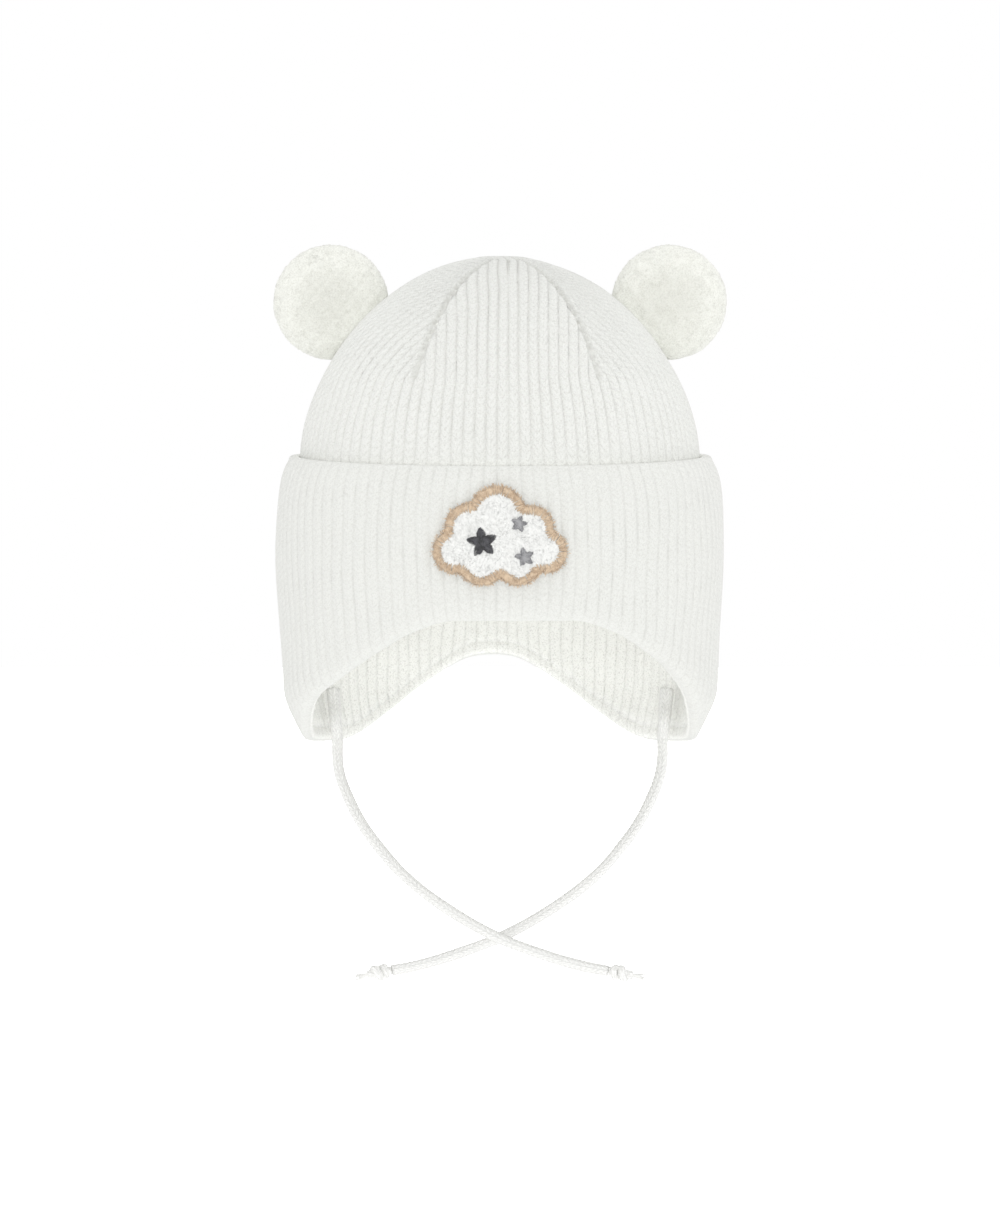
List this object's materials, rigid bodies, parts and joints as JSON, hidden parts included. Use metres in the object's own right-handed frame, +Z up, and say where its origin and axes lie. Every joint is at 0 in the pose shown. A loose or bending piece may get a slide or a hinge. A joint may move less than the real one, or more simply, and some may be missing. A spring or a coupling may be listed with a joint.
{
  "type": "baby hat with ears",
  "caption": "Rib-knit baby hat with a domed crown, a turned-up brim cut into ear flaps, plush disc ears, a cloud applique and knotted ties.",
  "frame": {"origin": "inside top of the crown, on the hat's upright middle line, where it bears on the top of a head", "axes": "+Z up out of the top of the crown, -Y out of the front with the cloud, +X to the wearer's left"},
  "size_m": [0.1688, 0.1613, 0.2757],
  "materials": {
    "cream_knit": "soft 1x1 rib knit",
    "cream_plush": "short plush",
    "white_plush": "short plush",
    "tan_thread": "satin stitch",
    "charcoal_thread": "satin stitch",
    "grey_thread": "satin stitch"
  },
  "bodies": {
    "root": {"crown": "cream_knit", "brim": "cream_knit", "ear_left": "cream_plush", "ear_right": "cream_plush", "cloud_ground": "white_plush", "cloud_border": "tan_thread", "star_large": "charcoal_thread", "star_upper": "grey_thread", "star_lower": "grey_thread", "tie_left": "cream_knit", "tie_right": "cream_knit", "knot_left": "cream_knit", "knot_right": "cream_knit"}
  },
  "joints": []
}
